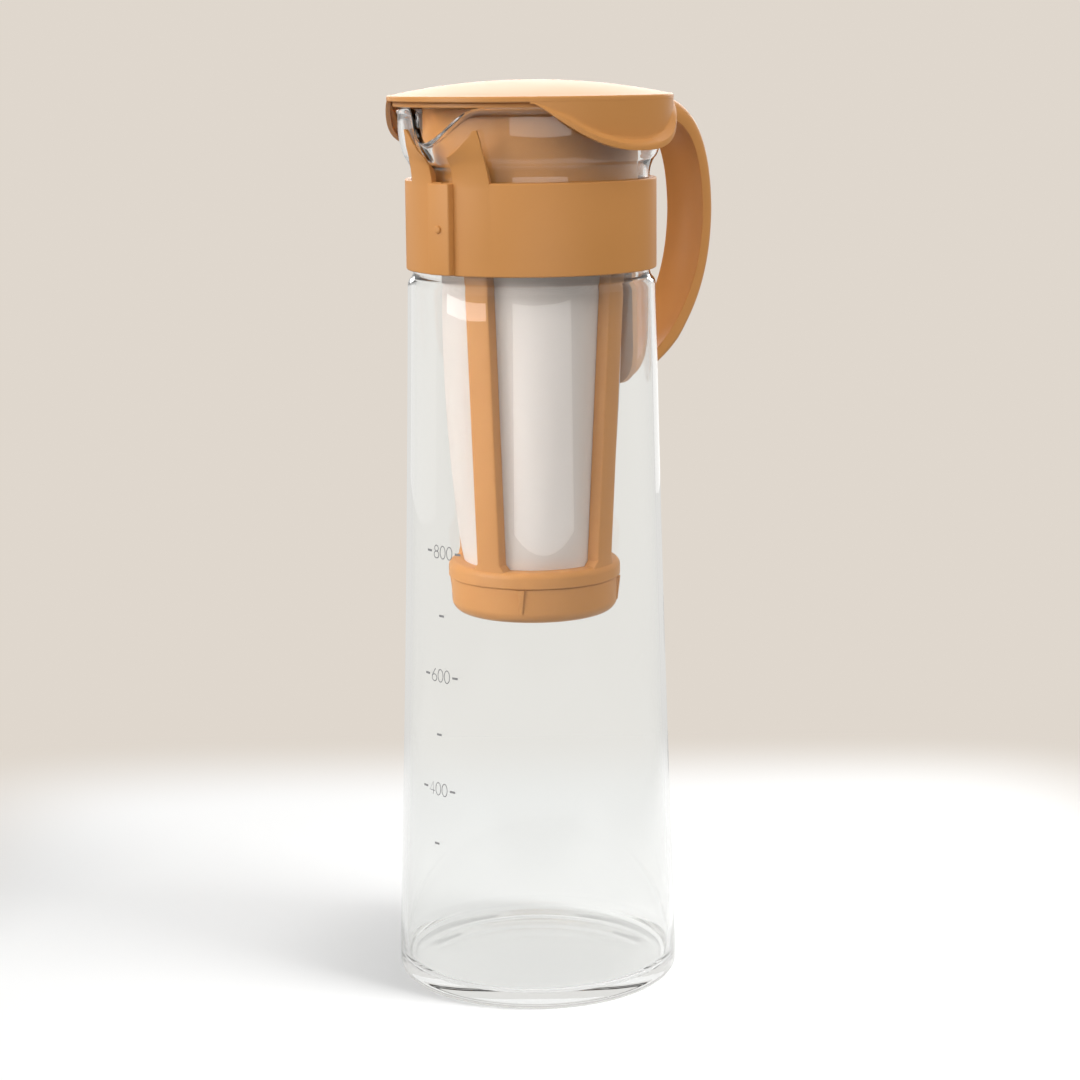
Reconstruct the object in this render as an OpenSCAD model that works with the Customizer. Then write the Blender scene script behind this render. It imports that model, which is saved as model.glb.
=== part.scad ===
// Cold brew jug: a glass carafe with a spout, a clipped neck band with a looped grip,
// a hanging strainer with a twist-off cap, and a lid with two side wings.
// The spout points along -X and the grip along +X. The origin is the centre of the base.

/* [Carafe] */
// Height of the glass to the top of its rim
carafe_h = 286.75; // [275:0.25:300]
// Outer radius of the glass just above the foot
base_r = 46.5; // [45:0.1:49]
// Outer radius of the glass under the shoulder
shoulder_r = 40; // [39.5:0.1:41]
// Outer radius of the neck
neck_r = 38.1; // [37.6:0.1:38.6]
// Outer radius of the mouth below the rim
mouth_r = 42.6; // [42.2:0.1:43]
// Wall thickness of the glass
glass_wall = 1.9; // [1.5:0.1:2.2]
// Thickness of the glass floor
glass_floor = 5; // [3:0.5:7]
// Radius of the rounded foot
foot_round = 3; // [2:0.5:4]
// How far the shoulder, where the taper ends, lies below the rim
shoulder_below = 57.05; // [56:0.05:60]
// Height of the mouth that flares out from the neck
flare_h = 22.25; // [21:0.05:22.5]
// Radius of the fire-rounded bead on the rim
bead_r = 1.15; // [1:0.05:1.3]

/* [Spout] */
// How far the tip of the spout is pulled out
spout_pull = 6; // [4:0.25:7]
// How far the tip of the spout dips below the rim
spout_dip = 10.5; // [8:0.25:12]
// Half angle of the mouth that the spout draws in
spout_half = 25; // [22:1:28]

/* [Neck band] */
// How far the band's upper edge lies below the rim
band_below = 22.75; // [22.5:0.05:24]
// Height of the band
band_h = 28.7; // [26:0.1:29]
// Wall thickness of the band
band_wall = 2; // [1.6:0.1:2.4]
// Gap between the ends of the band under the clip
band_gap = 0.8; // [0.6:0.1:1.2]
// Height of the tip of a horn above the band
horn_h = 16.1; // [14:0.1:17]
// Height of the low inner corner of a horn above the band
horn_corner_h = 7.9; // [6:0.1:9]
// How far a horn's root reaches down the band
horn_root = 2.5; // [1:0.1:4]
// How far a horn stands out from the band
horn_proud = 0.12; // [0.05:0.01:0.3]
// Angle from the spout to the inner edge of a horn
horn_in_a = 6.5; // [6:0.25:8]
// Angle from the spout to the outer edge of a horn
horn_out_a = 24.5; // [23:0.25:26]

/* [Band clip] */
// Width of the clip
clip_w = 9; // [8:0.1:10]
// How far the clip stands out from the band
clip_t = 2.05; // [1.8:0.05:2.4]
// How far the clip stops short of each edge of the band
clip_inset = 0.2; // [0.1:0.05:0.6]
// Diameter of the round boss on the clip
clip_boss_d = 2; // [1.5:0.1:2.5]
// How far the band's dovetail stands out inside the clip
dovetail_h = 1.05; // [0.9:0.05:1.15]
// Half width of the dovetail where it leaves the band
dovetail_half = 1.5; // [1.3:0.1:1.8]

/* [Grip] */
// Width of the grip
grip_w = 16.5; // [15:0.1:18]
// Distance from the axis to the middle of the grip's edges at its furthest
grip_reach = 79.2; // [76:0.1:82]
// Thickness of the grip at its edges
grip_edge_t = 3.7; // [3:0.1:4.5]
// How far the outside of the grip is crowned
grip_crown = 5; // [4:0.1:6]
// How far the inside of the grip is dished
grip_dish = 2; // [1:0.1:2.5]
// How far the grip's arch lies below the rim, on its middle line
arch_below = 3.55; // [2:0.05:6]
// Width of the spine and tongue against the glass
spine_w = 24; // [22:0.5:26]
// Thickness of the spine and tongue
spine_t = 3.3; // [3:0.1:4]
// How far the tongue reaches down below the band
tongue_h = 41.8; // [38:0.1:45]

/* [Strainer] */
// Outer radius of the flange that hangs on the rim
flange_r = 43.75; // [43.5:0.05:43.8]
// Thickness of the flange
flange_t = 1.65; // [1.4:0.05:2]
// Outer radius of the strainer's cylinder
tube_r = 34.35; // [33.8:0.05:34.6]
// Wall thickness of the strainer's cylinder
tube_wall = 1.6; // [1.4:0.1:1.8]
// Height of the cylinder from the flange down to where it narrows
tube_h = 36.8; // [33:0.1:39]
// Distance from the flange to the windows' upper edge
throat_h = 45.8; // [44:0.1:48]
// Length of the strainer from the flange to its seam with the cap
strainer_h = 151.8; // [147:0.1:157]
// Height of the bottom ring above the seam
ring_h = 5.2; // [4.5:0.1:6]
// Outer radius of the bottom ring
ring_r = 28.2; // [28:0.1:28.6]
// Radius of the rounding on the bottom ring
ring_round = 2.2; // [1.5:0.1:2.5]
// Outer radius of the ribs at the windows' upper edge
rib_top_r = 32.6; // [32.2:0.1:33]
// Outer radius of the ribs at the bottom ring
rib_bottom_r = 27.3; // [27:0.1:27.6]
// Width of a rib
rib_w = 8.5; // [7.5:0.1:9.5]
// Depth of a rib
rib_depth = 4.1; // [3.6:0.1:4.4]
// Number of ribs
rib_count = 4; // [3:1:5]
// Radius of the fillets in the windows' corners
window_fillet = 2; // [1:0.1:2.5]
// Turn of the strainer in the mouth, from the spout
strainer_turn = 10; // [0:1:45]
// Thickness of the filter cloth's solid
cloth_t = 0.4; // [0.3:0.05:0.6]
// How far the filter cloth swells out of a window
cloth_swell = 2.6; // [1:0.1:3]

/* [Strainer cap] */
// Outer radius of the cap at its top
cap_r = 27.5; // [27.3:0.1:28]
// Height of the cap
cap_h = 11.75; // [11:0.05:13]
// Wall thickness of the cap
cap_wall = 1.8; // [1.6:0.1:2]
// Thickness of the cap's floor
cap_floor = 1.8; // [1.5:0.1:2.5]
// Radius of the rounding round the cap's bottom
cap_round = 4; // [3:0.25:4.5]
// Number of grip ribs on the cap
cap_grips = 4; // [3:1:8]
// How far a grip rib stands out
cap_grip_t = 0.9; // [0.6:0.1:1.2]
// Width of a grip rib
cap_grip_w = 1.6; // [1.2:0.1:2]
// Turn of the cap on the strainer, from the spout
cap_turn = 34; // [0:1:90]
// Length of the strainer's spigot inside the cap
spigot_h = 7.5; // [6.5:0.1:8]
// Number of bayonet lugs on the spigot
lug_count = 4; // [2:1:6]
// How far a lug stands out
lug_t = 0.7; // [0.6:0.05:0.75]
// Height of a lug
lug_h = 1.6; // [1.2:0.1:1.8]
// Angle that a lug covers
lug_a = 14; // [10:1:18]
// Angle that the cap turns to lock
lock_a = 30; // [25:1:36]

/* [Lid] */
// Radius of the lid
lid_r = 45.7; // [45.5:0.1:46.2]
// Thickness of the lid's plate at its edge
lid_edge_t = 1.8; // [1.5:0.1:2.2]
// Height of the lid's dome above the edge
lid_dome_h = 4.6; // [3:0.1:6]
// Wall thickness of the lid
lid_wall = 1.5; // [1.2:0.1:1.6]
// How far a wing reaches down at its middle
wing_h = 15; // [12:0.1:16]
// Half angle that a wing covers
wing_half = 47; // [40:1:48]
// How far the wing's lower lip flares out
wing_flare = 2.9; // [2:0.1:3.4]
// Height of the flared lip
wing_lip_h = 3.2; // [2.5:0.1:4]
// Height that is left of a wing at its ends
wing_least = 0.4; // [0.2:0.1:0.8]
// How far a wing's face lies inside the edge of the plate
wing_recess = 0.3; // [0.1:0.05:0.4]
// Depth of the ring that centres the lid in the strainer
plug_h = 8; // [6:0.5:12]

/* [Clearances] */
// Gap between the glass and what lies on it
glass_gap = 0.16; // [0.1:0.01:0.25]
// Gap between the glass and the horns
horn_gap = 0.4; // [0.3:0.05:0.6]
// Gap between the flange and the rim that it rests on
seat_gap = 0.05; // [0.02:0.01:0.1]
// Gap between the filter cloth and the frame round it
cloth_gap = 0.05; // [0.02:0.01:0.1]
// Radial gap between the lid's ring and the strainer
plug_gap = 0.3; // [0.2:0.05:0.4]
// Radial gap between the cap and the spigot
spigot_gap = 0.08; // [0.05:0.01:0.1]
// Gap at the seam between cap and strainer
seam_gap = 0.05; // [0.02:0.01:0.1]
// Gap round the lugs in the cap's groove
lug_gap = 0.3; // [0.2:0.05:0.4]
// Gap between the dovetail and its groove in the clip
dovetail_gap = 0.1; // [0.05:0.01:0.15]

/* [Hidden] */
$fn = 96;
tan_plastic = [0.80, 0.60, 0.38];
// A cut runs this far past the face that it goes through.
past = 1;
curve_steps = 10;

// Derived heights, radii and angles
shoulder_z = carafe_h - shoulder_below;
flare_z = carafe_h - flare_h;
band_top = carafe_h - band_below;
band_z = band_top - band_h;
band_in = neck_r + glass_gap;
band_out = band_in + band_wall;
grip_top_z = carafe_h - arch_below;
tongue_z = band_z - tongue_h;
sector = ceil(spout_half / 2.5) * 2.5;
flange_z = carafe_h + seat_gap;
flange_top = flange_z + flange_t;
tube_z = flange_z - tube_h;
window_top_z = flange_z - throat_h;
seam_z = flange_z - strainer_h;
tube_in = tube_r - tube_wall;
ring_top = seam_z + ring_h;
cloth_bottom_r = rib_bottom_r - rib_depth;
cloth_top_r = rib_top_r - rib_depth;
ring_in = cloth_bottom_r - cloth_t;
throat_r = cloth_top_r - cloth_t;
spigot_r = cap_r - cap_wall - spigot_gap;
cap_top = seam_z - seam_gap;
cap_bottom = cap_top - cap_h;
lug_z = seam_z - spigot_h + 2;
lid_under = flange_top;
lid_edge_top = lid_under + lid_edge_t;

// Points on a quadratic curve from a to c that leaves a towards b
function curve(a, b, c, n = curve_steps) =
    [for (i = [0:n]) let (t = i / n) (1 - t) * (1 - t) * a + 2 * t * (1 - t) * b + t * t * c];
// Points on an arc about [x, y], from angle a0 to angle a1
function arc(x, y, r, a0, a1, n = curve_steps) =
    [for (i = [0:n]) let (a = a0 + (a1 - a0) * i / n) [x + r * cos(a), y + r * sin(a)]];
function reverse(list) = [for (i = [len(list) - 1:-1:0]) list[i]];
function shifted(list, dx, dy = 0) = [for (p = list) [p[0] + dx, p[1] + dy]];
// A point of a section in radius and height, set at an angle round the axis
function at_angle(p, a) = [p[0] * cos(a), p[0] * sin(a), p[1]];
function clamp01(t) = max(0, min(1, t));

// Triangles that close the end of a row of sections, from one side of the section to the other
function end_cap(n, first) = [for (i = [0:floor(n / 2) - 1])
    let (a = first + i, b = a + 1, d = first + n - 1 - i, c = d - 1)
    each c > b ? [[a, b, d], [b, c, d]] : c == b ? [[a, b, d]] : []];
// A solid through a row of sections that all have the same number of points, or a ring of
// them where the row is closed. Each section runs anticlockwise in radius and height, up one
// side and back down the other, and the row runs anticlockwise from above.
module loft(sections, closed = false) {
    n = len(sections[0]);
    m = len(sections);
    last = m - 1;
    sides = [for (k = [0:closed ? last : last - 1]) for (i = [0:n - 1])
        let (a = k * n + i, b = k * n + (i + 1) % n,
             c = (k + 1) % m * n + (i + 1) % n, d = (k + 1) % m * n + i)
        each [[a, b, d], [b, c, d]]];
    caps = closed ? [] : concat([for (f = end_cap(n, 0)) reverse(f)], end_cap(n, last * n));
    polyhedron(points = [for (s = sections) each s], faces = concat(sides, caps), convexity = 6);
}

// ---- Glass carafe: outer line from foot to rim, as radius and height ----
taper_start = 9;
glass_taper = curve([base_r, taper_start], [shoulder_r + 2.2, shoulder_z / 2 + 5],
                    [shoulder_r, shoulder_z]);
shoulder_round = 2.6;
glass_shoulder = concat(
    curve([shoulder_r, shoulder_z], [shoulder_r, shoulder_z + shoulder_round * 0.6],
          [(shoulder_r + neck_r) / 2, shoulder_z + shoulder_round], 4),
    curve([(shoulder_r + neck_r) / 2, shoulder_z + shoulder_round],
          [neck_r, shoulder_z + shoulder_round * 1.4],
          [neck_r, shoulder_z + shoulder_round * 2], 4));
flare_mid = [(neck_r + mouth_r) / 2, flare_z + flare_h * 0.29];
glass_flare = concat(
    curve([neck_r, flare_z], [neck_r, flare_z + flare_h * 0.17], flare_mid, 4),
    curve(flare_mid, [mouth_r - 0.2, flare_z + flare_h * 0.5],
          [mouth_r, carafe_h - 2 * bead_r], 5));
rim_bead = arc(mouth_r + 0.4 - bead_r, carafe_h - bead_r, bead_r, -25, 205, 6);
// The mouth starts as a sleeve a hair thicker than the neck, so the two blend cleanly.
sleeve_lap = 0.05;
sleeve_h = 2;
mouth_wall = glass_wall + 2 * sleeve_lap;
mouth_outside = concat([[neck_r + sleeve_lap, flare_z - sleeve_h], [neck_r + sleeve_lap, flare_z]],
                       [for (i = [1:len(glass_flare) - 1]) glass_flare[i] + [sleeve_lap, 0]]);
glass_mouth = concat(mouth_outside, rim_bead, reverse(shifted(mouth_outside, -mouth_wall)));

// Angles of the mouth's sections from the spout: close together along the spout
fine_step = 2.5;
coarse_steps = 40;
mouth_angles = concat([for (a = [-sector:fine_step:sector]) a],
    [for (i = [1:coarse_steps - 1]) sector + i * (360 - 2 * sector) / coarse_steps]);
function spout_rise(z) = pow(clamp01((z - flare_z) / flare_h), 1.5);
function spout_bump(a) = abs(a) < spout_half ? pow(cos(90 * a / spout_half), 4) : 0;
// A mouth point drawn out and down by the spout, at angle a from the spout
function spout_point(p, a) = let (k = spout_bump(a) * spout_rise(p[1]))
    [p[0] + spout_pull * k, p[1] - spout_dip * k];

module glass_carafe() {
    foot = arc(base_r - foot_round, foot_round, foot_round, -90, 0, 6);
    outside = concat(foot, glass_taper, glass_shoulder);
    inside = reverse(shifted(concat(glass_taper, glass_shoulder), -glass_wall));
    heel = reverse(arc(base_r - glass_wall - foot_round, glass_floor + foot_round,
                       foot_round, -90, 0, 6));
    color([0.86, 0.92, 0.92, 0.35]) union() {
        rotate_extrude()
            polygon(concat([[0, 0]], outside, [[neck_r, flare_z]],
                           [[neck_r - glass_wall, flare_z]], inside, heel, [[0, glass_floor]]));
        loft([for (a = mouth_angles)
            [for (p = glass_mouth) at_angle(spout_point(p, a), 180 + a)]], closed = true);
    }
}

// ---- Neck band: split collar, two horns that follow the glass, dovetail for the clip ----
// Height of a horn's upper edge at angle a from the spout
horn_tip_a = horn_out_a - 4;
function horn_top(a) = band_top + (a < horn_tip_a
    ? horn_corner_h + (horn_h - horn_corner_h) * pow((a - horn_in_a) / (horn_tip_a - horn_in_a), 1.4)
    : horn_h * clamp01((horn_out_a - a) / (horn_out_a - horn_tip_a) + 0.04));
// Radius of the glass's outside at a height of the flare, before the spout draws it out
function flare_r(z) = lookup(z, [for (p = glass_flare) [p[1], p[0]]]);
// Radius of a horn's inner face: the drawn-out glass and the horn's gap
function horn_in(z, a) = flare_r(min(z + spout_dip * spout_bump(a) * spout_rise(z), carafe_h))
    + spout_pull * spout_bump(a) * spout_rise(z + spout_dip * spout_bump(a) * spout_rise(z))
    + horn_gap;

module horn() {
    rows = 6;
    root = band_top - horn_root;
    horn_wall = band_out + horn_proud - neck_r - horn_gap;
    loft([for (a = [horn_in_a:1:horn_out_a])
        let (top = horn_top(a), zs = [for (i = [0:rows]) root + (top - root) * i / rows])
        [for (p = concat([for (z = zs) [horn_in(z, a) + horn_wall, z]],
                         [for (z = reverse(zs)) [horn_in(z, a), z]]))
            at_angle(p, 180 + a)]]);
}

// Outline across the dovetail, drawn with its root on the band's outer face
module dovetail_outline(gap) {
    root = sqrt(band_out * band_out - dovetail_half * dovetail_half) - 0.4;
    wide = dovetail_half + 0.6;
    polygon([[-root, -dovetail_half - gap], [-root, dovetail_half + gap],
             [-band_out - dovetail_h - gap, wide + gap],
             [-band_out - dovetail_h - gap, -wide - gap]]);
}

module neck_band() {
    edge = 0.5;
    color(tan_plastic) difference() {
        union() {
            rotate_extrude() polygon([
                [band_in, band_z], [band_out - edge, band_z], [band_out, band_z + edge],
                [band_out, band_top - edge], [band_out - edge, band_top], [band_in, band_top]]);
            horn();
            mirror([0, 1, 0]) horn();
            translate([0, 0, band_z + clip_inset]) linear_extrude(band_h - 2 * clip_inset)
                dovetail_outline(0);
        }
        translate([-band_out - 3, -band_gap / 2, band_z - past])
            cube([6, band_gap, band_h + 2 * past]);
    }
}

// ---- Band clip: a plate slid over the dovetail on the two ends of the band ----
module band_clip() {
    clip_h = band_h - 2 * clip_inset;
    out = band_out + clip_t;
    round_off = 0.6;
    color(tan_plastic) union() {
        translate([0, 0, band_z + clip_inset]) difference() {
            linear_extrude(clip_h) difference() {
                polygon([[-band_out + 1, -clip_w / 2], [-band_out + 1, clip_w / 2],
                         [-out + round_off, clip_w / 2], [-out, clip_w / 2 - round_off],
                         [-out, -clip_w / 2 + round_off], [-out + round_off, -clip_w / 2]]);
                dovetail_outline(dovetail_gap);
            }
            translate([0, 0, -past]) cylinder(h = clip_h + 2 * past, r = band_out);
        }
        translate([-out + 0.2, 0, band_z + band_h / 2]) rotate([0, -90, 0])
            cylinder(h = 0.55, d = clip_boss_d, $fn = 32);
    }
}

// ---- Grip: a loop of crescent section on a spine that ends in a tongue ----
spine_in = band_out;
spine_out = spine_in + spine_t;
spine_top = band_top + 3;
// Middle line of the loop, from its root on the spine over the arch and down to the tongue
grip_root = [spine_in + 4.4, band_top - 1];
grip_arch = [spine_in + 15, grip_top_z];
grip_side = [grip_reach, (grip_top_z + tongue_z) / 2 + 12];
grip_low = [grip_reach - 11.5, tongue_z + 22.5];
grip_foot = [spine_in + 2.4, tongue_z + 4.2];
grip_line = concat(
    curve(grip_root, [spine_in + 5.6, grip_top_z + 0.2], grip_arch, 12),
    [for (i = [1:16]) curve(grip_arch, [grip_reach - 0.8, grip_top_z + 0.2], grip_side, 16)[i]],
    [for (i = [1:12]) curve(grip_side, [grip_reach - 0.3, tongue_z + 36], grip_low, 12)[i]],
    [for (i = [1:9]) curve(grip_low, [spine_in + 17, tongue_z + 9], grip_foot, 9)[i]]);

function unit(v) = v / norm(v);
// Crown, dish and width fade towards the two roots of the loop
function fade(k) = clamp01(min(k, len(grip_line) - 1 - k) / 9);
function grip_section(k) =
    let (p = grip_line[k],
         t = unit(grip_line[min(k + 1, len(grip_line) - 1)] - grip_line[max(k - 1, 0)]),
         out = [-t[1], t[0]],
         f = 0.1 + 0.9 * fade(k),
         half = grip_w / 2,
         rim = grip_edge_t / 2,
         outer = [for (i = [-5:5]) let (u = sin(i * 18))
             [half * u, rim * 0.5 + (rim * 0.5 + grip_crown * f) * sqrt(max(0, 1 - u * u))]],
         inner = [for (i = [5:-1:-5]) let (u = i / 5)
             [half * u * 0.97, -rim + grip_dish * f * (1 - u * u)]])
    [for (q = concat(outer, inner)) [p[0] + out[0] * q[1], q[0], p[1] + out[1] * q[1]]];

module spine() {
    // The spine's inner line keeps its gap to the glass and lies on the band's outside.
    back = concat([for (p = glass_taper) if (p[1] > tongue_z - 25) [p[0] + glass_gap, p[1]]],
                  [[spine_in, band_z], [spine_in, spine_top]]);
    intersection() {
        rotate([0, 0, -40]) rotate_extrude(angle = 80)
            polygon(concat(back, reverse([for (p = back) [max(p[0], spine_in) + spine_t, p[1]]])));
        translate([0, 0, tongue_z + spine_w / 2]) rotate([90, 0, 90]) linear_extrude(spine_out * 2)
            union() {
                circle(d = spine_w);
                translate([-spine_w / 2, 0]) square([spine_w, spine_top]);
            }
    }
}

module grip_handle() {
    color(tan_plastic) union() {
        spine();
        loft([for (k = [0:len(grip_line) - 1]) grip_section(k)]);
    }
}

// ---- Strainer frame ----
module rib() {
    low = ring_top - ring_round;
    high = window_top_z + past;
    half = rib_w / 2;
    f = window_fillet;
    // Front view of a rib with its four corner fillets
    side = concat([[half + f, low], [half + f, ring_top]],
                  reverse(arc(half + f, ring_top + f, f, 180, 270, 6)),
                  arc(half + f, window_top_z - f, f, 180, 90, 6),
                  [[half + f, high]]);
    outline = concat(side, reverse([for (p = side) [-p[0], p[1]]]));
    rotate([90, 0, 90]) linear_extrude(tube_r) polygon(outline);
}

module strainer_frame() {
    shell_low = ring_top - ring_round;
    color(tan_plastic) union() {
        rotate_extrude() polygon([
            [tube_in, flange_top], [flange_r - 0.4, flange_top], [flange_r, flange_top - 0.4],
            [flange_r, flange_z], [tube_r, flange_z], [tube_r, tube_z],
            [rib_top_r, window_top_z], [throat_r, window_top_z], [throat_r, window_top_z + 1.5],
            [tube_in, tube_z + 1]]);
        rotate([0, 0, 180 + strainer_turn]) intersection() {
            rotate_extrude() polygon([
                [cloth_bottom_r, ring_top], [cloth_bottom_r + 0.2, shell_low],
                [rib_bottom_r, shell_low], [rib_bottom_r, ring_top],
                [rib_top_r, window_top_z], [cloth_top_r, window_top_z]]);
            for (i = [0:rib_count - 1]) rotate([0, 0, i * 360 / rib_count]) rib();
        }
        rotate_extrude() polygon(concat(
            [[ring_in, seam_z - spigot_h], [spigot_r, seam_z - spigot_h], [spigot_r, seam_z],
             [ring_r, seam_z]],
            arc(ring_r - ring_round, ring_top - ring_round, ring_round, 0, 90, 6),
            [[ring_in, ring_top]]));
        rotate([0, 0, 180 + cap_turn]) for (i = [0:lug_count - 1])
            rotate([0, 0, i * 360 / lug_count - lug_a / 2])
                translate([0, 0, lug_z]) rotate_extrude(angle = lug_a)
                    translate([spigot_r - 0.5, 0]) square([lug_t + 0.5, lug_h]);
    }
}

// ---- Filter cloth: a cone that swells a little out of each window ----
module filter_mesh() {
    around = 64;
    rows = 10;
    half_window = 180 / rib_count - asin(rib_w / 2 / cloth_bottom_r) - 360 / around;
    low = ring_top + cloth_gap;
    high = window_top_z - cloth_gap;
    function swell(a, t) = let (
        w = abs((a % (360 / rib_count)) - 180 / rib_count) / half_window)
        cloth_swell * max(0, 1 - w * w) * pow(max(0, sin(180 * t)), 0.7);
    function radius(a, t) =
        cloth_bottom_r + (cloth_top_r - cloth_bottom_r) * t + swell(a, t) - cloth_gap;
    outer = [for (i = [0:rows]) i / rows];
    color([0.85, 0.83, 0.82]) rotate([0, 0, 180 + strainer_turn])
        loft([for (k = [0:around - 1]) let (a = 360 * k / around)
            [for (p = concat([for (t = outer) [radius(a, t), low + (high - low) * t]],
                             [for (t = reverse(outer))
                                 [radius(a, t) - cloth_t, low + (high - low) * t]]))
                at_angle(p, a)]], closed = true);
}

// ---- Strainer cap: a cup that locks on the spigot's lugs with a short turn ----
module strainer_cap() {
    bore = cap_r - cap_wall;
    foot_r = cap_r - 0.3;
    floor_z = cap_bottom + cap_floor;
    groove_z = lug_z - lug_gap;
    groove_h = lug_h + 2 * lug_gap;
    grip_low_z = cap_bottom + cap_round - 0.6;
    color(tan_plastic) union() {
        difference() {
            rotate_extrude() polygon(concat(
                [[0, cap_bottom]],
                arc(foot_r - cap_round, cap_bottom + cap_round, cap_round, -90, 0, 8),
                [[cap_r, cap_top], [bore, cap_top]],
                reverse(arc(bore - 2.4, floor_z + 2.4, 2.4, -90, 0, 6)),
                [[0, floor_z]]));
            translate([0, 0, groove_z]) rotate_extrude()
                translate([bore - 0.5, 0]) square([0.5 + lug_t + lug_gap - spigot_gap, groove_h]);
            rotate([0, 0, 180 + cap_turn + lock_a]) for (i = [0:lug_count - 1])
                rotate([0, 0, i * 360 / lug_count - lug_a / 2 - 1])
                    translate([0, 0, groove_z + groove_h / 2]) rotate_extrude(angle = lug_a + 2)
                        translate([bore - 0.5, 0])
                            square([0.4 + lug_t + lug_gap - spigot_gap, cap_h]);
        }
        for (i = [0:cap_grips - 1]) rotate([0, 0, 180 + cap_turn + i * 360 / cap_grips])
            rotate([90, 0, 0]) translate([0, 0, -cap_grip_w / 2]) linear_extrude(cap_grip_w)
                polygon([[foot_r - 1, grip_low_z], [foot_r + 0.3, grip_low_z],
                         [cap_r + cap_grip_t, cap_top - 0.3], [cap_r - 1, cap_top - 0.3]]);
    }
}

// ---- Lid: a shallow dome with a centring ring below and a wing on each side ----
function wing_depth(a) = wing_h * pow(max(0, 1 - pow(abs(a - 90) / wing_half, 2.4)), 1.4);

// A wing on the side of -Y, with its flat upper face against the lid's plate
module wing() {
    wing_in = lid_r - lid_wall;
    wing_out = lid_r - wing_recess;
    steps = 30;
    lip_steps = [0:0.25:1];
    color(tan_plastic) loft([for (i = [0:steps])
        let (a = 90 - wing_half + 2 * wing_half * i / steps,
             depth = max(wing_least, wing_depth(a)),
             flare = wing_flare * depth / wing_h,
             lip = min(wing_lip_h, depth / 2),
             low = lid_under - depth,
             face = [for (t = lip_steps) [flare * pow(1 - t, 2), low + lip * t]])
        [for (p = concat([[wing_in, lid_under]],
                         [for (q = reverse(face)) [wing_in + q[0] * 0.9, q[1]]],
                         [for (q = face) [wing_out + q[0], q[1]]],
                         [[wing_out, lid_under]]))
            at_angle(p, 180 + a)]]);
}

module lid_wing_left() {
    wing();
}

module lid_wing_right() {
    mirror([0, 1, 0]) wing();
}

module lid() {
    plug_r = tube_in - plug_gap;
    dome_h = lid_dome_h - (lid_wall - 1.2);
    edge_round = 0.7;
    color(tan_plastic) rotate_extrude() polygon(concat(
        [[plug_r, lid_under], [lid_r, lid_under], [lid_r, lid_edge_top - edge_round]],
        arc(lid_r - edge_round, lid_edge_top - edge_round, edge_round, 20, 80, 3),
        curve([lid_r - 1.2, lid_edge_top], [lid_r * 0.5, lid_edge_top + lid_dome_h],
              [0, lid_edge_top + lid_dome_h], 12),
        curve([0, lid_under + dome_h], [plug_r * 0.5, lid_under + dome_h],
              [plug_r - lid_wall, lid_under + 1.4], 8),
        [[plug_r - lid_wall, lid_under - plug_h], [plug_r, lid_under - plug_h]]));
}

glass_carafe();
neck_band();
band_clip();
grip_handle();
strainer_frame();
filter_mesh();
strainer_cap();
lid();
lid_wing_left();
lid_wing_right();
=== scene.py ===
"""Cold brew jug: a glass carafe with a clipped neck band and grip, a hanging strainer, and a lid.

Metres, +Z up, spout along -X, grip along +X, origin at the centre of the base.
"""

import math

import bpy
from mathutils import Matrix, Vector


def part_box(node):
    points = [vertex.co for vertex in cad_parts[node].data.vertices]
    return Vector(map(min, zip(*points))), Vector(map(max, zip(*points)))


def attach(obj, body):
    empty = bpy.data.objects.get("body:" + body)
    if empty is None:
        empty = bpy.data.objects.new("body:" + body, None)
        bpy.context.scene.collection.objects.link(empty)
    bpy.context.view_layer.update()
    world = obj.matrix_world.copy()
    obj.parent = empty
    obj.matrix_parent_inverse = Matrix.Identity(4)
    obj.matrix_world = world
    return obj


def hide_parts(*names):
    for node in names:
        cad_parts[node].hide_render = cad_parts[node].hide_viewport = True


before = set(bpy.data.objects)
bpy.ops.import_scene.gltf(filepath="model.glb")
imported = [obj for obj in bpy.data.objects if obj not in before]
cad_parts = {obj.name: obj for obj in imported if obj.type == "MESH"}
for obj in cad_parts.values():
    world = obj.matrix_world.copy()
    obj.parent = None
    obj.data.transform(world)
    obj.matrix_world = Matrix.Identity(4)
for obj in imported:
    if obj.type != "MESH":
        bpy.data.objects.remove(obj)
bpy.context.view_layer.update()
bpy.context.scene.view_settings.view_transform = "Standard"


# ---- Camera ----
# The photograph's viewpoint: a long lens a little above the lid, which looks slightly down.
camera_place = (-0.5970, -0.5567, 0.3026)
camera_heading = math.radians(-47.134)
camera_tilt = math.radians(90 - 10.881)
camera_roll = math.radians(-0.531)
camera_lens = 84.2


def pick(*pieces):
    """Selects these pieces alone, and makes the first of them active."""
    bpy.ops.object.select_all(action="DESELECT")
    for piece in pieces:
        piece.select_set(True)
    if pieces:
        bpy.context.view_layer.objects.active = pieces[0]


pick()
bpy.ops.object.camera_add()
camera = bpy.context.object
camera.matrix_world = (Matrix.Translation(camera_place)
                       @ Matrix.Rotation(camera_heading, 4, "Z")
                       @ Matrix.Rotation(camera_tilt, 4, "X")
                       @ Matrix.Rotation(camera_roll, 4, "Z"))
camera.data.lens = camera_lens
bpy.context.scene.camera = camera


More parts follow.
